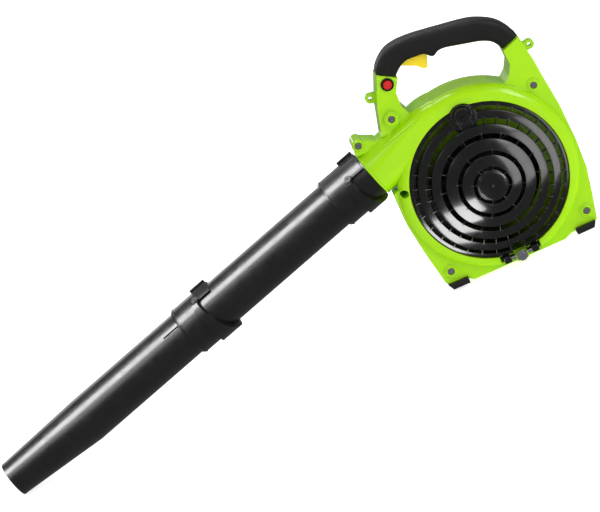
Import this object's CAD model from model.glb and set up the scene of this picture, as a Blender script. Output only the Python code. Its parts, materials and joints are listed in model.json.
import json
import math

import bmesh
import bpy
from mathutils import Matrix, Vector


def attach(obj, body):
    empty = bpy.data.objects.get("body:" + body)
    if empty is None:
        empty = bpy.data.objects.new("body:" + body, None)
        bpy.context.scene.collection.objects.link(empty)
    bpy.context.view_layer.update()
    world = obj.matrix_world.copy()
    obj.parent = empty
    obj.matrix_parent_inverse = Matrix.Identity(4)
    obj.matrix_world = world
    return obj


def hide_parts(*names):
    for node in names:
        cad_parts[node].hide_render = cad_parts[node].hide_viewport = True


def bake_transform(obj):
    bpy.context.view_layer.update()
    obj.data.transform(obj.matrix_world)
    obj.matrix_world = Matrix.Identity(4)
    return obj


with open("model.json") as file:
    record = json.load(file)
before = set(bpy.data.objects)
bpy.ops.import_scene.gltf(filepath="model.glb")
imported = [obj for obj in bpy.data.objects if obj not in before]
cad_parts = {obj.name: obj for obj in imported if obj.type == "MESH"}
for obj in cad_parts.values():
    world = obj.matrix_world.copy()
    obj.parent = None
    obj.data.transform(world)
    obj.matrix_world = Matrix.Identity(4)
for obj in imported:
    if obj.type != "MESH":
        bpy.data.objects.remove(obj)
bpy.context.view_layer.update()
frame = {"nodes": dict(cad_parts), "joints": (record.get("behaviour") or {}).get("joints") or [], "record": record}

JOINTS = {j["name"]: j for j in frame["joints"]}
NODES = frame["nodes"]


# Frames: the fan's frame has +X to the rear, +Y up and +Z to the intake side ----------------------

def axes(origin, x, y, z):
    """Matrix whose local millimetres become row-frame metres."""
    columns = [Vector(a).normalized() * 0.001 for a in (x, y, z)]
    m = Matrix.Identity(4)
    for i, a in enumerate(columns):
        m[0][i], m[1][i], m[2][i] = a
    m[0][3], m[1][3], m[2][3] = origin
    return m


def fan_frame():
    z = Vector(JOINTS["crank_spin"]["axis"])
    y = Vector(JOINTS["starter_pull"]["axis"])
    return axes(JOINTS["crank_spin"]["pos_m"], y.cross(z), y, z)


def tube_frame(joint):
    """+Z runs along the tube to its nozzle, +Y is its underside and -X faces the intake side."""
    z = Vector(JOINTS[joint]["axis"])
    x = -Vector(JOINTS["crank_spin"]["axis"])
    return axes(JOINTS[joint]["pos_m"], x, z.cross(x), z)


FAN = fan_frame()
UPPER = tube_frame("tube_twist")
NOZZLE = tube_frame("nozzle_twist")


# Materials ----------------------------------------------------------------------------------------

def linear(colour):
    return [c / 12.92 if c <= 0.04045 else ((c + 0.055) / 1.055) ** 2.4 for c in colour] + [1.0]


class Paint:
    """A node-based material, put together one layer at a time."""

    def __init__(self, name, colour, roughness, metallic=0.0, coat=0.0, coat_roughness=0.05, ior=1.5):
        self.material = bpy.data.materials.new(name)
        self.material.use_nodes = True
        self.tree = self.material.node_tree
        self.shader = self.tree.nodes["Principled BSDF"]
        self.shader.inputs["Metallic"].default_value = metallic
        self.shader.inputs["Coat Weight"].default_value = coat
        self.shader.inputs["Coat Roughness"].default_value = coat_roughness
        self.shader.inputs["IOR"].default_value = ior
        self.shader.inputs["Base Color"].default_value = linear(colour)
        self.shader.inputs["Roughness"].default_value = roughness
        self.place = self.node("ShaderNodeTexCoord").outputs["Object"]
        self.colour = None
        self.base = linear(colour)
        self.height = None

    def node(self, kind, **values):
        n = self.tree.nodes.new(kind)
        for k, v in values.items():
            if hasattr(n, k):
                setattr(n, k, v)
            else:
                n.inputs[k].default_value = v
        return n

    def link(self, a, b):
        self.tree.links.new(a, b)

    def noise(self, scale, detail=4.0, rough=0.55, stretch=None):
        n = self.node("ShaderNodeTexNoise", Scale=scale, Detail=detail, Roughness=rough)
        place = self.place
        if stretch:
            m = self.node("ShaderNodeMapping")
            m.inputs["Scale"].default_value = stretch
            self.link(place, m.inputs["Vector"])
            place = m.outputs["Vector"]
        self.link(place, n.inputs["Vector"])
        return n.outputs["Fac"]

    def span(self, fac, low, high, start=0.3, end=0.7):
        n = self.node("ShaderNodeMapRange")
        n.inputs["From Min"].default_value = start
        n.inputs["From Max"].default_value = end
        n.inputs["To Min"].default_value = low
        n.inputs["To Max"].default_value = high
        self.link(fac, n.inputs["Value"])
        return n.outputs["Result"]

    def times(self, a, b):
        n = self.node("ShaderNodeMath", operation="MULTIPLY")
        self.link(a, n.inputs[0])
        if isinstance(b, (int, float)):
            n.inputs[1].default_value = b
        else:
            self.link(b, n.inputs[1])
        return n.outputs[0]

    def tint(self, fac, colour):
        """Mixes another colour in where fac is high."""
        n = self.node("ShaderNodeMix", data_type="RGBA")
        if self.colour is None:
            n.inputs[6].default_value = self.base
        else:
            self.link(self.colour, n.inputs[6])
        n.inputs[7].default_value = linear(colour)
        self.link(fac, n.inputs[0])
        self.colour = n.outputs[2]
        return self

    def vary(self, scale, colour, amount=0.5, detail=3.0):
        return self.tint(self.span(self.noise(scale, detail), 0.0, amount), colour)

    def roughen(self, scale, low, high, detail=4.0, stretch=None):
        fac = self.noise(scale, detail, stretch=stretch)
        self.link(self.span(fac, low, high), self.shader.inputs["Roughness"])
        return self

    def grain(self, scale, depth, detail=2.0, stretch=None):
        """Adds a surface height of depth metres."""
        fac = self.noise(scale, detail, stretch=stretch)
        n = self.node("ShaderNodeMath", operation="MULTIPLY")
        self.link(fac, n.inputs[0])
        n.inputs[1].default_value = depth
        self.add(n.outputs[0])
        return self

    def pebble(self, scale, depth):
        v = self.node("ShaderNodeTexVoronoi", feature="F1", Scale=scale)
        self.link(self.place, v.inputs["Vector"])
        n = self.node("ShaderNodeMath", operation="MULTIPLY")
        self.link(v.outputs["Distance"], n.inputs[0])
        n.inputs[1].default_value = -depth
        self.add(n.outputs[0])
        return self

    def add(self, height):
        if self.height is not None:
            n = self.node("ShaderNodeMath", operation="ADD")
            self.link(self.height, n.inputs[0])
            self.link(height, n.inputs[1])
            height = n.outputs[0]
        self.height = height

    def worn(self, colour, radius=0.0012, amount=0.5):
        """Lightens the edges, broken up by noise, as handling does."""
        soft = self.node("ShaderNodeBevel", samples=4, Radius=radius)
        geometry = self.node("ShaderNodeNewGeometry")
        dot = self.node("ShaderNodeVectorMath", operation="DOT_PRODUCT")
        self.link(soft.outputs["Normal"], dot.inputs[0])
        self.link(geometry.outputs["Normal"], dot.inputs[1])
        edge = self.span(dot.outputs["Value"], amount, 0.0, 0.75, 0.98)
        patch = self.span(self.noise(180, 3), 0.1, 1.0, 0.4, 0.62)
        n = self.node("ShaderNodeMath", operation="MULTIPLY")
        self.link(edge, n.inputs[0])
        self.link(patch, n.inputs[1])
        return self.tint(n.outputs[0], colour)

    def done(self, edge=0.0006, strength=1.0):
        """Rounds sharp edges by edge metres and joins up the layers."""
        normal = None
        if edge:
            soft = self.node("ShaderNodeBevel", samples=6, Radius=edge)
            normal = soft.outputs["Normal"]
        if self.height is not None:
            bump = self.node("ShaderNodeBump")
            bump.inputs["Strength"].default_value = strength
            bump.inputs["Distance"].default_value = 1.0
            self.link(self.height, bump.inputs["Height"])
            if normal:
                self.link(normal, bump.inputs["Normal"])
            normal = bump.outputs["Normal"]
        if normal:
            self.link(normal, self.shader.inputs["Normal"])
        if self.colour is not None:
            self.link(self.colour, self.shader.inputs["Base Color"])
        return self.material


def green_plastic():
    p = Paint("green_plastic", (0.66, 0.89, 0.0), 0.18, coat=0.25, coat_roughness=0.06)
    p.vary(9, (0.61, 0.85, 0.0), 0.5).vary(60, (0.69, 0.92, 0.02), 0.25)
    p.worn((0.86, 0.98, 0.3), 0.0012, 0.45)
    # Dust and soot drawn in under the guard, thickest low down at the front
    flat = p.node("ShaderNodeMapping")
    flat.inputs["Scale"].default_value = (1, 0, 1)
    flat.inputs["Location"].default_value = (-FAN.translation.x, 0, -FAN.translation.z)
    p.link(p.place, flat.inputs["Vector"])
    radius = p.node("ShaderNodeVectorMath", operation="LENGTH")
    p.link(flat.outputs["Vector"], radius.inputs[0])
    along = p.node("ShaderNodeVectorMath", operation="DOT_PRODUCT")
    p.link(flat.outputs["Vector"], along.inputs[0])
    along.inputs[1].default_value = (-0.88, 0, -0.47)
    depth = p.node("ShaderNodeSeparateXYZ")
    p.link(p.place, depth.inputs[0])
    inside = p.times(p.span(radius.outputs["Value"], 1.0, 0.0, 0.1112, 0.1122),
                     p.span(depth.outputs["Y"], 1.0, 0.0, -0.03, -0.02))
    p.tint(p.times(inside, p.span(along.outputs["Value"], 0.5, 0.985, -0.06, 0.05)), (0.05, 0.07, 0.0))
    return p.roughen(45, 0.14, 0.24).grain(900, 0.000012).done(0.0012)


def satin_black():
    p = Paint("satin_black", (0.055, 0.054, 0.054), 0.34, coat=0.1)
    p.vary(14, (0.085, 0.083, 0.08), 0.6).worn((0.2, 0.2, 0.2), 0.0008, 0.4)
    return p.roughen(80, 0.27, 0.38, stretch=(1, 1, 1)).grain(1500, 0.000015).done(0.0007)


def gloss_black():
    p = Paint("gloss_black", (0.035, 0.035, 0.035), 0.2, coat=0.2, coat_roughness=0.1)
    p.vary(20, (0.06, 0.06, 0.058), 0.6).worn((0.4, 0.4, 0.39), 0.0008, 0.8)
    return p.roughen(60, 0.15, 0.26).grain(700, 0.000012).done(0.0005)


def grip_black():
    p = Paint("grip_black", (0.06, 0.06, 0.06), 0.5)
    p.vary(30, (0.09, 0.09, 0.09), 0.5).worn((0.3, 0.3, 0.3), 0.001, 0.6)
    return p.roughen(90, 0.5, 0.66).pebble(1400, 0.00009).grain(400, 0.00003).done(0.0008)


def yellow_plastic():
    p = Paint("yellow_plastic", (1.0, 0.89, 0.0), 0.3, coat=0.2)
    p.vary(60, (0.98, 0.84, 0.0), 0.5).worn((1.0, 0.96, 0.5), 0.0008, 0.4)
    return p.roughen(120, 0.26, 0.38).grain(900, 0.00001).done(0.0006)


def red_plastic():
    p = Paint("red_plastic", (0.86, 0.07, 0.04), 0.28, coat=0.4)
    p.vary(120, (0.7, 0.03, 0.02), 0.5)
    return p.roughen(150, 0.22, 0.36).grain(1200, 0.00001).done(0.0005)


def rubber():
    p = Paint("rubber", (0.075, 0.075, 0.075), 0.7)
    p.vary(40, (0.12, 0.12, 0.12), 0.6).worn((0.22, 0.21, 0.2), 0.001, 0.5)
    return p.roughen(70, 0.6, 0.8).grain(1300, 0.00003).done(0.0008)


def zinc():
    p = Paint("zinc_steel", (0.82, 0.82, 0.84), 0.25, metallic=1.0)
    p.vary(300, (0.66, 0.67, 0.7), 0.6)
    return p.roughen(400, 0.18, 0.36).grain(1800, 0.000012).done(0.0003)


def ground_steel():
    p = Paint("ground_steel", (0.66, 0.66, 0.67), 0.2, metallic=1.0)
    p.vary(120, (0.5, 0.5, 0.52), 0.5)
    return p.roughen(300, 0.14, 0.3, stretch=(1, 6, 1)).grain(900, 0.00001, stretch=(1, 8, 1)).done(0.0004)


def cast_alloy():
    p = Paint("cast_alloy", (0.68, 0.68, 0.69), 0.45, metallic=1.0)
    p.vary(40, (0.5, 0.5, 0.51), 0.6).vary(300, (0.78, 0.78, 0.78), 0.4)
    return p.roughen(200, 0.38, 0.58).grain(700, 0.00009, 6).done(0.0008)


def nylon():
    p = Paint("fan_nylon", (0.16, 0.16, 0.165), 0.45)
    p.vary(50, (0.22, 0.22, 0.225), 0.6).worn((0.35, 0.35, 0.35), 0.0008, 0.4)
    return p.roughen(150, 0.38, 0.55, stretch=(1, 1, 3)).grain(1100, 0.00002).done(0.0006)


def brass():
    p = Paint("brass", (0.83, 0.67, 0.34), 0.25, metallic=1.0)
    return p.vary(200, (0.7, 0.52, 0.25), 0.5).roughen(300, 0.2, 0.36).grain(900, 0.00001).done(0.0003)


def coil_resin():
    p = Paint("coil_resin", (0.1, 0.1, 0.12), 0.35)
    return p.vary(60, (0.15, 0.15, 0.17), 0.5).roughen(120, 0.28, 0.5).grain(500, 0.00004).done(0.0006)


def gasket():
    p = Paint("gasket", (0.3, 0.31, 0.32), 0.75)
    return p.vary(300, (0.42, 0.42, 0.43), 0.6).roughen(300, 0.65, 0.85).grain(2000, 0.00003).done(0.0)


def phenolic():
    p = Paint("phenolic", (0.3, 0.17, 0.1), 0.5)
    p.vary(80, (0.22, 0.12, 0.07), 0.6)
    return p.roughen(200, 0.42, 0.6, stretch=(1, 1, 8)).grain(900, 0.00003, stretch=(1, 1, 9)).done(0.0006)


def primer_rubber():
    p = Paint("primer_rubber", (0.88, 0.5, 0.14), 0.3)
    p.shader.inputs["Transmission Weight"].default_value = 0.35
    return p.vary(120, (0.75, 0.36, 0.08), 0.5).roughen(150, 0.24, 0.4).grain(600, 0.00001).done(0.0)


def foam():
    p = Paint("foam", (0.85, 0.78, 0.5), 0.95)
    return p.vary(600, (0.55, 0.48, 0.25), 0.9).roughen(300, 0.85, 1.0).pebble(900, 0.0006).done(0.0)


def muffler_steel():
    p = Paint("muffler_steel", (0.5, 0.48, 0.46), 0.4, metallic=1.0)
    p.vary(25, (0.42, 0.3, 0.2), 0.7).vary(70, (0.3, 0.3, 0.36), 0.5).vary(500, (0.62, 0.6, 0.58), 0.4)
    return p.roughen(90, 0.3, 0.62).grain(500, 0.00005, 5).done(0.001)


def tank_plastic():
    p = Paint("tank_plastic", (0.9, 0.9, 0.86), 0.42)
    p.shader.inputs["Subsurface Weight"].default_value = 0.25
    p.shader.inputs["Subsurface Radius"].default_value = (0.004, 0.004, 0.003)
    return p.vary(16, (0.82, 0.8, 0.7), 0.6).roughen(90, 0.36, 0.52).grain(800, 0.00003).done(0.0015)


def rope():
    p = Paint("rope", (0.9, 0.9, 0.88), 0.85)
    wave = p.node("ShaderNodeTexWave", Scale=420, Distortion=1.5)
    p.link(p.place, wave.inputs["Vector"])
    p.tint(p.span(wave.outputs["Fac"], 0.0, 0.7, 0.1, 0.9), (0.5, 0.5, 0.52))
    n = p.node("ShaderNodeMath", operation="MULTIPLY")
    p.link(wave.outputs["Fac"], n.inputs[0])
    n.inputs[1].default_value = 0.0003
    p.add(n.outputs[0])
    return p.roughen(300, 0.75, 0.95).done(0.0)


MATERIALS = {
    "green_plastic": green_plastic(), "black_plastic": satin_black(), "grip_plastic": grip_black(),
    "yellow_plastic": yellow_plastic(), "red_plastic": red_plastic(), "rubber": rubber(),
    "zinc_steel": zinc(), "ground_steel": ground_steel(), "cast_alloy": cast_alloy(),
    "fan_nylon": nylon(), "brass": brass(), "coil_resin": coil_resin(), "gasket": gasket(),
    "phenolic": phenolic(), "primer_rubber": primer_rubber(), "foam": foam(),
    "muffler_steel": muffler_steel(), "tank_plastic": tank_plastic(), "rope": rope(),
    "gloss_black": gloss_black(),
}


def paint_nodes():
    slots = {s["node"]: s["material_slot"] for s in frame["record"]["subparts"]}
    for name, obj in NODES.items():
        material = MATERIALS["gloss_black" if name in ("guard", "latch_knob") else slots[name]]
        obj.data.materials.clear()
        obj.data.materials.append(material)


paint_nodes()


# Shapes: closed solids in local millimetres -------------------------------------------------------

def fillet(points, radius, steps=4):
    """The closed outline with its corners rounded; radius is one number, or one for each point."""
    out = []
    for i, corner in enumerate(points):
        r = radius[i] if isinstance(radius, (list, tuple)) else radius
        p = Vector(corner)
        a = Vector(points[i - 1]) - p
        b = Vector(points[(i + 1) % len(points)]) - p
        angle = a.angle(b)
        if r <= 0 or angle > math.pi - 0.05:
            out.append(tuple(p))
            continue
        reach = min(r / math.tan(angle / 2), a.length * 0.48, b.length * 0.48)
        a.normalize()
        b.normalize()
        for k in range(steps + 1):
            t = k / steps
            out.append(tuple(p + a * reach * (1 - t) ** 2 + b * reach * t ** 2))
    return out


def arc(x, y, radius, start, end, steps=12):
    angles = (math.radians(start + (end - start) * k / steps) for k in range(steps + 1))
    return [(x + radius * math.cos(a), y + radius * math.sin(a)) for a in angles]


def turn(angle, axis="Z", at=(0, 0, 0)):
    return Matrix.Translation(at) @ Matrix.Rotation(math.radians(angle), 4, axis)


class Solid:
    """Closed shapes joined into one mesh."""

    def __init__(self, place=FAN):
        self.bm = bmesh.new()
        self.place = place

    def take(self, part, matrix):
        bmesh.ops.remove_doubles(part, verts=part.verts, dist=1e-4)
        bmesh.ops.recalc_face_normals(part, faces=part.faces)
        if matrix:
            bmesh.ops.transform(part, matrix=matrix, verts=part.verts)
        mesh = bpy.data.meshes.new("part")
        part.to_mesh(mesh)
        part.free()
        self.bm.from_mesh(mesh)
        bpy.data.meshes.remove(mesh)
        return self

    def lathe(self, profile, segments=96, start=0, sweep=360, matrix=None):
        """Turns a closed outline of (radius, height) about the Z axis."""
        part = bmesh.new()
        full = sweep >= 360
        rings = []
        for k in range(segments if full else segments + 1):
            a = math.radians(start + sweep * k / segments)
            rings.append([part.verts.new((r * math.cos(a), r * math.sin(a), z)) for r, z in profile])
        for k in range(segments):
            p, q = rings[k], rings[(k + 1) % len(rings)]
            for i in range(len(profile)):
                j = (i + 1) % len(profile)
                part.faces.new((p[i], p[j], q[j], q[i]))
        if not full:
            part.faces.new(rings[0])
            part.faces.new(rings[-1])
        return self.take(part, matrix)

    def loft(self, rings, matrix=None):
        """Skins rings of points and closes both ends."""
        part = bmesh.new()
        rows = [[part.verts.new(p) for p in ring] for ring in rings]
        for p, q in zip(rows, rows[1:]):
            for i in range(len(p)):
                j = (i + 1) % len(p)
                part.faces.new((p[i], p[j], q[j], q[i]))
        part.faces.new(rows[0])
        part.faces.new(rows[-1])
        return self.take(part, matrix)

    def prism(self, outline, low, high, edge=0.0, matrix=None, steps=2):
        """Extrudes an outline along Z and rounds its sharp edges."""
        part = bmesh.new()
        rows = [[part.verts.new((x, y, z)) for x, y in outline] for z in (low, high)]
        for i in range(len(outline)):
            j = (i + 1) % len(outline)
            part.faces.new((rows[0][i], rows[0][j], rows[1][j], rows[1][i]))
        part.faces.new(rows[0])
        part.faces.new(rows[1])
        bmesh.ops.recalc_face_normals(part, faces=part.faces)
        if edge:
            sharp = [e for e in part.edges if e.calc_face_angle(0) > math.radians(40)]
            bmesh.ops.bevel(part, geom=sharp, offset=edge, segments=steps, profile=0.5,
                            affect="EDGES", clamp_overlap=True)
        return self.take(part, matrix)

    def block(self, low, high, edge=0.3, matrix=None):
        (x0, y0, z0), (x1, y1, z1) = low, high
        return self.prism([(x0, y0), (x1, y0), (x1, y1), (x0, y1)], z0, z1, edge, matrix)

    def rod(self, points, radius, sides=16, matrix=None):
        """Sweeps a round section along points."""
        points = [Vector(p) for p in points]
        rings = []
        normal = None
        for i, p in enumerate(points):
            ahead = points[min(i + 1, len(points) - 1)] - points[max(i - 1, 0)]
            ahead.normalize()
            if normal is None:
                normal = ahead.orthogonal()
            normal = (normal - ahead * normal.dot(ahead)).normalized()
            side = ahead.cross(normal)
            r = radius(i / (len(points) - 1)) if callable(radius) else radius
            rings.append([p + (normal * math.cos(a) + side * math.sin(a)) * r
                          for a in (2 * math.pi * k / sides for k in range(sides))])
        return self.loft(rings, matrix)

    def build(self, name, paint, body, replaces=(), angle=38):
        bmesh.ops.transform(self.bm, matrix=self.place, verts=self.bm.verts)
        mesh = bpy.data.meshes.new(name)
        self.bm.to_mesh(mesh)
        self.bm.free()
        mesh.shade_smooth()
        mesh.set_sharp_from_angle(angle=math.radians(angle))
        mesh.materials.append(MATERIALS[paint])
        obj = bpy.data.objects.new(name, mesh)
        bpy.context.scene.collection.objects.link(obj)
        if body:
            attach(obj, body)
        if replaces:
            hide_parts(*replaces)
        return obj


def smooth_path(points, steps=8):
    """A smooth curve through points, which may have any number of coordinates."""
    rows = [points[0], *points, points[-1]]
    out = []
    for i in range(1, len(rows) - 2):
        a, b, c, d = rows[i - 1:i + 3]
        for k in range(steps):
            t = k / steps
            out.append(tuple(
                0.5 * (2 * q + (r - p) * t + (2 * p - 5 * q + 4 * r - s) * t * t
                       + (3 * q - p - 3 * r + s) * t ** 3)
                for p, q, r, s in zip(a, b, c, d)))
    out.append(tuple(rows[-1]))
    return out


# Intake guard -------------------------------------------------------------------------------------

GUARD_R = 112
GUARD_FLAT = 35
GUARD_RISE = 37
GUARD_TOP = GUARD_FLAT + GUARD_RISE
GUARD_WALL = 2.4
HUB_R = 0.2 * GUARD_R
# Each band: outer radius, inner radius, height of its inner edge, slope, ribs inside it
BANDS = [(o * GUARD_R, i * GUARD_R, GUARD_FLAT + h * GUARD_RISE, slope, ribs) for o, i, h, slope, ribs in (
    (1, 0.95, 0.03, 0.5, 32), (0.9, 0.8, 0.2, 3, 32), (0.735, 0.625, 0.44, 4.5, 16),
    (0.565, 0.425, 0.67, 6, 8), (0.375, 0.24, 0.87, 5.5, 8))]
LATCH_Y = 103
PAD_R = 20
KNOB_R = 11
HINGE_Y, HINGE_Z = -115.5, 43
HINGE_HALF, BLOCK_HALF = 26, 9


def guard_band(part, outer, inner, top, slope):
    edge = top - slope
    outline = [(inner, top), (outer, edge), (outer, edge - 6), (outer - GUARD_WALL, edge - 6),
               (outer - GUARD_WALL, edge - GUARD_WALL), (inner, top - GUARD_WALL)]
    profile = fillet(outline, [0.6, 1.0, 0.4, 0.4, 0.8, 0.5], 3)
    rim = outer == GUARD_R
    gap = math.degrees(math.asin((BLOCK_HALF + 0.6) / GUARD_R)) if rim else 0
    part.lathe(profile, 192, -90 + gap, 360 - 2 * gap)


def hinge_lug(part, low, high):
    outline = fillet([(HINGE_Z + 4.5, HINGE_Y - 4.5), (HINGE_Z + 4.5, HINGE_Y + 4.5),
                      (HINGE_Z - 4, HINGE_Y + 8),
                      (HINGE_Z - 11, HINGE_Y + 8), (HINGE_Z - 11, HINGE_Y - 1), (HINGE_Z - 4, HINGE_Y - 4.5)],
                     [4.4, 4.4, 1, 1, 1, 2], 5)
    sideways = Matrix(((0, 0, 1, 0), (0, 1, 0, 0), (-1, 0, 0, 0), (0, 0, 0, 1)))
    part.prism([(-z, y) for z, y in outline], low, high, 0.5, sideways)


def guard_dome():
    part = Solid()
    for outer, inner, top, slope, _ in BANDS:
        guard_band(part, outer, inner, top, slope)
    low, high = GUARD_TOP - 11, GUARD_TOP
    part.lathe(fillet(
        [(0, high - 0.2), (HUB_R - 4.2, high - 3.6), (HUB_R - 3.4, high - 4.4), (HUB_R - 1.4, high - 3.2),
         (HUB_R, high - 4.4), (HUB_R, low), (HUB_R - GUARD_WALL, low), (HUB_R - GUARD_WALL, high - 7),
         (0, high - 4)], [0, 0.4, 0.5, 0.8, 0.8, 0.4, 0.4, 0.8, 0], 3), 96)
    part.lathe(fillet([(0, high), (1.6, high), (1.6, high - 2), (0, high - 2)], [0, 0.5, 0, 0], 3), 24)
    inner_rings = BANDS[1:] + [(HUB_R, 0, GUARD_TOP - 4, 0, 0)]
    for (_, rib_out, top, slope, ribs), (rib_in, *_) in zip(BANDS, inner_rings):
        low = top - slope - 3.5
        for k in range(ribs):
            part.block((rib_in - 1.2, -0.6, low), (rib_out + 2.2, 0.6, top + 0.5), 0.25,
                       turn((k + 0.5) * 360 / ribs))
    # Round pad under the latch knob, and a low ring about the knob
    pad = fillet([(0, GUARD_FLAT + 7), (PAD_R - 2.6, GUARD_FLAT + 7), (PAD_R - 1.4, GUARD_FLAT + 5.4),
                  (PAD_R, GUARD_FLAT + 5.4), (PAD_R, GUARD_FLAT - 4), (0, GUARD_FLAT - 4)],
                 [0, 0.6, 0.4, 0.8, 0.5, 0], 3)
    part.lathe(pad, 96, matrix=turn(0, at=(0, LATCH_Y - 6, 0)))
    part.lathe(fillet([(12.4, GUARD_FLAT + 7.4), (14, GUARD_FLAT + 7.4), (14, GUARD_FLAT + 6),
                       (12.4, GUARD_FLAT + 6)],
                      0.5, 2), 72, matrix=turn(0, at=(0, LATCH_Y, 0)))
    hinge_lug(part, -HINGE_HALF, -BLOCK_HALF - 7)
    hinge_lug(part, BLOCK_HALF + 7, HINGE_HALF)
    part.build("guard_dome", "gloss_black", "guard", ["guard"])


def latch_cap():
    part = Solid(FAN @ turn(0, at=(0, LATCH_Y, GUARD_FLAT + 7.4)))
    part.lathe(fillet([(0, 4.4), (KNOB_R - 1, 4.4), (KNOB_R - 1, 0.2), (4, 0.2), (4, -16), (0, -16)],
                      [0, 0.6, 0.4, 0.3, 0.6, 0], 3), 72)
    step = math.degrees(math.asin(1.2 / (KNOB_R - 0.6)))
    for side in (0, 180):
        part.prism(arc(0, 0, KNOB_R - 0.4, side + step, side + 180 - step, 28), 3.4, 7, 0.6)
    for k in range(24):
        part.lathe(fillet([(0, 6), (1, 6), (1, 0.3), (0, 0.3)], [0, 0.6, 0.3, 0], 2), 12,
                   matrix=turn(0, at=(*arc(0, 0, KNOB_R - 0.1, 15 * k, 15 * k, 1)[0], 0)))
    part.build("latch_cap", "gloss_black", "latch", ["latch_knob"])


guard_dome()
latch_cap()


# Handle -------------------------------------------------------------------------------------------

GRIP_HALF_WIDE = 17
# Points of the grip's top line and of its underside, in pairs from the front leg to the rear leg
GRIP = [
    (-86, 198.6, -61, 184), (-80.5, 208.5, -56, 189), (-70, 218.4, -50.4, 193.4), (-58.5, 225, -44, 197),
    (-44, 228, -36, 198.6), (-29, 228.1, -25, 198), (-17, 227.3, -14, 196.6), (-6.5, 226, -7, 190.6),
    (2, 224.8, -1.6, 188.4), (10, 223.6, 6.6, 192.6), (21, 221.8, 17, 192.6), (36, 219.6, 33, 188.8),
    (52, 217, 50, 184.6), (68, 213, 62.5, 181.4), (84.5, 205.4, 72.5, 177.4), (97.5, 196.4, 79.6, 172.8),
    (107.5, 184, 84.6, 166.6), (115.4, 167.9, 88.5, 158.8)]
TRIGGER_HALF = 5.4


def half_section(centre, up, half, side):
    """Half of the grip's section, flat on the parting plane and chamfered next to it."""
    seam = 0.12
    out = []
    for k in range(33):
        a = math.radians(-90 + 180 * k / 32)
        n = math.copysign(abs(math.sin(a)) ** (2 / 5.5), math.sin(a)) * half
        z = seam + abs(math.cos(a)) ** (2 / 5.5) * (GRIP_HALF_WIDE - seam)
        if k in (0, 32):
            n -= math.copysign(0.5, n)
            z = seam
        out.append((centre.x + up.x * n, centre.y + up.y * n, side * z))
    return out


def grip_rings(side):
    rings = []
    for ox, oy, ix, iy in smooth_path(GRIP, 6):
        up = Vector((ox - ix, oy - iy))
        rings.append(half_section(Vector((ox + ix, oy + iy)) / 2, up.normalized(), up.length / 2, side))
    return rings


def cut(obj, cutter):
    """Takes the cutter's shape out of obj for good."""
    tool = bpy.data.objects.new("cutter", bpy.data.meshes.new("cutter"))
    bmesh.ops.transform(cutter.bm, matrix=cutter.place, verts=cutter.bm.verts)
    cutter.bm.to_mesh(tool.data)
    cutter.bm.free()
    bpy.context.scene.collection.objects.link(tool)
    change = obj.modifiers.new("cut", "BOOLEAN")
    change.object = tool
    change.solver = "EXACT"
    bpy.context.view_layer.update()
    made = bpy.data.meshes.new_from_object(obj.evaluated_get(bpy.context.evaluated_depsgraph_get()))
    obj.modifiers.clear()
    old = obj.data
    obj.data = made
    made.name = obj.name
    bpy.data.meshes.remove(old)
    bpy.data.objects.remove(tool)
    made.set_sharp_from_angle(angle=math.radians(38))


def grip_shell(name, node, side):
    part = Solid()
    part.loft(grip_rings(side))
    obj = part.build(name, "grip_plastic", "machine", [node])
    hollow = Solid()
    hollow.block((-54, 150, -TRIGGER_HALF), (-7, 217, TRIGGER_HALF), 0)
    cut(obj, hollow)


grip_shell("grip_left_shell", "grip_left", 1)
grip_shell("grip_right_shell", "grip_right", -1)


# Fan case and blowing tube ------------------------------------------------------------------------

MOUTH_R = 36
COLLAR_R = 37.8
COLLAR_LEN = 66
TUBE_R = 34


def mouth_lip():
    part = Solid(UPPER)
    part.lathe(fillet([(MOUTH_R - 2.6, -3.6), (MOUTH_R + 1.3, -3.6), (MOUTH_R + 1.3, -0.1),
                       (MOUTH_R - 2.6, -0.1)],
                      [0.3, 1.0, 0.8, 0.4], 3), 128)
    part.build("mouth_lip", "green_plastic", "machine")


def duct_shoulder(part, side):
    """The round edge of the scroll, carried on along the duct's top until it runs out at the mouth."""
    apex = Vector((-152, 92.2, 26))
    sections = [(-26, 121.2, 13.7, 0), (-33, 121.4, 14.1, 0), (-42, 120.6, 14.2, 0), (-52, 119, 14.2, 0)]
    sections += [(-52, 119, 14.2, t) for t in (0.15, 0.35, 0.6, 0.8, 0.97)]
    rings = []
    for x, centre, radius, reach in sections:
        ring = [(x, *p) for p in arc(centre, 24, radius, -4, 94, 16)] + [(x, centre - 1, 36),
                                                                         (x, centre + 9, 22)]
        points = (Vector(p).lerp(apex, reach) for p in ring)
        rings.append([(p.x, p.y, side * p.z) for p in points])
    part.loft(rings)


def duct_shoulders():
    part = Solid()
    duct_shoulder(part, 1)
    duct_shoulder(part, -1)
    part.build("duct_shoulders", "green_plastic", "machine", angle=50)


def bead(part, radius, at, wide=1.8, high=0.8):
    part.lathe(fillet([(radius - 0.6, at), (radius + high, at), (radius + high, at + wide),
                       (radius - 0.6, at + wide)],
                      [0.1, 0.6, 0.6, 0.1], 3), 128)


def tube_trim():
    """Beads round the collars' ends, and the seam along the nozzle."""
    upper = Solid(UPPER)
    bead(upper, COLLAR_R, 3 + COLLAR_LEN - 5)
    upper.build("upper_collar_bead", "black_plastic", "tube")
    nozzle = Solid(NOZZLE)
    bead(nozzle, COLLAR_R, COLLAR_LEN - 5)
    nozzle.build("nozzle_collar_bead", "black_plastic", "nozzle")
    seam = Solid(NOZZLE)
    seam.block((TUBE_R - 0.6, -1, COLLAR_LEN - 0.4), (TUBE_R + 0.7, 1, COLLAR_LEN + 27), 0.3, turn(222))
    seam.build("nozzle_seam", "rubber", "nozzle")


SCREW_GAP = 12  # two points nearer than this, across the fan's axis, are on one screw


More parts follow.
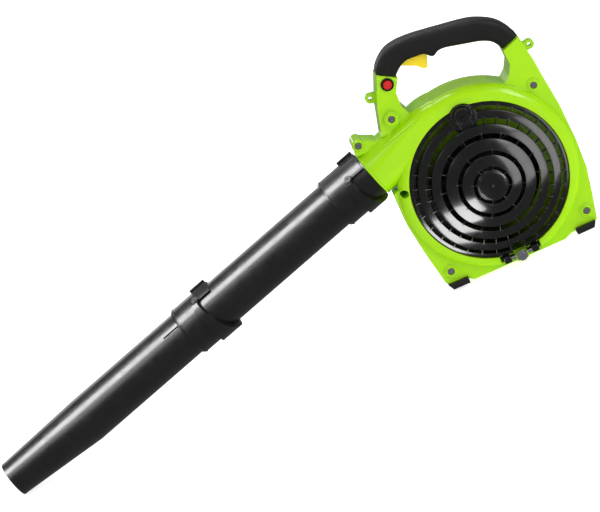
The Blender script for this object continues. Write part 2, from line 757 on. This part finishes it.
def screws_of(node):
    """The points of a node of separate screws, in the fan's frame, one list for each screw."""
    screws = []
    for v in NODES[node].data.vertices:
        p = FAN.inverted() @ v.co
        mine = next((screw for screw in screws if (p.xy - screw[0].xy).length < SCREW_GAP), None)
        if mine:
            mine.append(p)
        else:
            screws.append([p])
    return screws


def boss_collars():
    """Raised collars round the case screws."""
    part = Solid()
    for screw in screws_of("case_screws"):
        x = (min(q.x for q in screw) + max(q.x for q in screw)) / 2
        y = (min(q.y for q in screw) + max(q.y for q in screw)) / 2
        z = max(q.z for q in screw)
        part.lathe(fillet([(5.2, z - 2.4), (5.2, z + 1.6), (7.2, z + 1.6), (9, z - 2.4)],
                          [0.2, 0.8, 0.8, 0.2], 3),
                   64, matrix=turn(0, at=(x, y, 0)))
    part.build("boss_collars", "green_plastic", "machine")


mouth_lip()
tube_trim()
boss_collars()
duct_shoulders()


# Engine side --------------------------------------------------------------------------------------

ROPE_X, ROPE_Z = -23.5, -120.05
ROPE_LOW, ROPE_HIGH = 3, 74
ROPE_R = 1.5
FUEL_X, FUEL_Z = -52, -60
CLIPS_Y = (-60, 31)


def pull_rope():
    """The starter rope from its pulley up to the handle: it draws out as the handle moves."""
    part = Solid()
    part.rod([(ROPE_X, ROPE_LOW + (ROPE_HIGH - ROPE_LOW) * k / 70, ROPE_Z) for k in range(71)], ROPE_R, 12)
    obj = part.build("pull_rope", "rope", None)
    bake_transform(obj)


def hose_clip(part, y):
    """A wire clip round the fuel line, with its two ears."""
    at = turn(90, "X", at=(FUEL_X, y, FUEL_Z))
    part.lathe(fillet([(2.65, -1.1), (3.5, -1.1), (3.5, 1.1), (2.65, 1.1)], 0.35, 2), 32, matrix=at)
    for side in (-1, 1):
        part.block((2.6, side * 1.4 - 0.45, -1.1), (6, side * 1.4 + 0.45, 1.1), 0.2, at @ turn(200))


def engine_trim():
    clips = Solid()
    for y in CLIPS_Y:
        hose_clip(clips, y)
    clips.build("hose_clips", "zinc_steel", "machine")


pull_rope()
engine_trim()


# Studio -------------------------------------------------------------------------------------------

def studio_floor():
    bm = bmesh.new()
    bmesh.ops.create_circle(bm, cap_ends=True, radius=60, segments=96)
    mesh = bpy.data.meshes.new("floor")
    bm.to_mesh(mesh)
    bm.free()
    floor = bpy.data.objects.new("floor", mesh)
    bpy.context.scene.collection.objects.link(floor)
    p = Paint("floor_paint", (0.97, 0.97, 0.97), 0.8)
    p.shader.inputs["Emission Color"].default_value = (1, 1, 1, 1)
    p.shader.inputs["Emission Strength"].default_value = 0.8
    floor.data.materials.append(p.vary(0.5, (0.96, 0.96, 0.955), 0.5).roughen(3, 0.75, 0.85).done(0.0))
    floor.visible_glossy = False


def aim(obj, place, target):
    obj.location = place
    obj.rotation_euler = (Vector(target) - Vector(place)).to_track_quat("-Z", "Y").to_euler()


def softbox(name, place, target, size, power, colour=(1, 1, 1)):
    light = bpy.data.lights.new(name, "AREA")
    light.shape = "RECTANGLE"
    light.size, light.size_y = size
    light.energy = power
    light.color = colour
    obj = bpy.data.objects.new(name, light)
    bpy.context.scene.collection.objects.link(obj)
    aim(obj, place, target)
    return obj


def card(name, place, target, along, size, power, pieces):
    """A light seen only as a reflection in some pieces; its first side lies along a direction."""
    obj = softbox(name, place, target, size, power)
    obj.visible_camera = False
    obj.visible_diffuse = False
    z = (Vector(place) - Vector(target)).normalized()
    x = Vector(along)
    x = (x - z * x.dot(z)).normalized()
    lit = bpy.data.collections.new(name + "_lights")
    for piece in pieces:
        lit.objects.link(bpy.data.objects[piece])
    obj.light_linking.receiver_collection = lit
    obj.matrix_world = Matrix.Translation(place) @ Matrix((x, z.cross(x), z)).transposed().to_4x4()


def world_light(seen, strength):
    world = bpy.data.worlds.new("studio")
    bpy.context.scene.world = world
    world.use_nodes = True
    tree = world.node_tree
    background = tree.nodes["Background"]
    background.inputs["Strength"].default_value = 1.0
    path = tree.nodes.new("ShaderNodeLightPath")
    mix = tree.nodes.new("ShaderNodeMix")
    mix.data_type = "RGBA"
    mix.inputs[6].default_value = (strength, strength, strength, 1)
    mix.inputs[7].default_value = (seen, seen, seen, 1)
    tree.links.new(path.outputs["Is Camera Ray"], mix.inputs[0])
    tree.links.new(mix.outputs[2], background.inputs["Color"])


CAMERA_TURNS = (1.731, 16.12, 26.178)  # azimuth, elevation and roll, in degrees
CAMERA_TARGET = (0.0427, 0.0, 0.1294)
CAMERA_DISTANCE = 5.0
SENSOR, LENS = 36, 212.376  # mm


def camera():
    azimuth, elevation, roll = (math.radians(a) for a in CAMERA_TURNS)
    target = Vector(CAMERA_TARGET)
    forward = Vector((-math.sin(azimuth) * math.cos(elevation), math.cos(azimuth) * math.cos(elevation),
                      -math.sin(elevation)))
    right = Vector((math.cos(azimuth), math.sin(azimuth), 0))
    up = right.cross(forward)
    side = math.cos(roll) * right - math.sin(roll) * up
    top = math.sin(roll) * right + math.cos(roll) * up
    m = Matrix.Identity(4)
    for i in range(3):
        m[i][0], m[i][1], m[i][2] = side[i], top[i], -forward[i]
    m.translation = target - forward * CAMERA_DISTANCE
    data = bpy.data.cameras.new("camera")
    data.sensor_width = SENSOR
    data.lens = LENS
    data.clip_end = 200
    obj = bpy.data.objects.new("camera", data)
    bpy.context.scene.collection.objects.link(obj)
    obj.matrix_world = m
    bpy.context.scene.camera = obj


studio_floor()
world_light(1.0, 0.22)
softbox("key", (2.0, -1.7, 1.3), (0.3, 0, 0.13), (1.2, 1.2), 22)
softbox("front", (-1.6, -2.0, 2.0), (0.0, 0, 0.15), (1.2, 1.0), 13)
softbox("top", (0.2, 0.0, 2.2), (0.1, 0, 0.15), (1.8, 0.7), 13)
softbox("rim", (0.2, 1.9, 2.4), (0.1, 0, 0.15), (1.6, 1.0), 16)
softbox("back", (-0.9, 2.4, 0.9), (0.2, 0, 0.15), (1.2, 1.0), 7)
card("tube_card", (-0.43, -0.26, 0.93), (-0.1, -0.035, 0.12), (1, 0, 0.3), (1.3, 0.4), 34,
     ["upper_tube", "nozzle_tube", "outlet_spigot", "upper_collar_bead", "nozzle_collar_bead"])
card("guard_card", (0.217, -0.169, 0.038), (0.28, -0.09, 0.1045), (0, 0, 1), (0.08, 0.08), 0.3,
     ["guard_dome", "latch_cap"])
card("side_card", (0.55, -0.28, 0.1), (0.42, -0.08, 0.13), (0, 0, 1), (0.25, 0.13), 0.4, ["guard_dome"])
camera()
bpy.context.scene.view_settings.view_transform = "Standard"
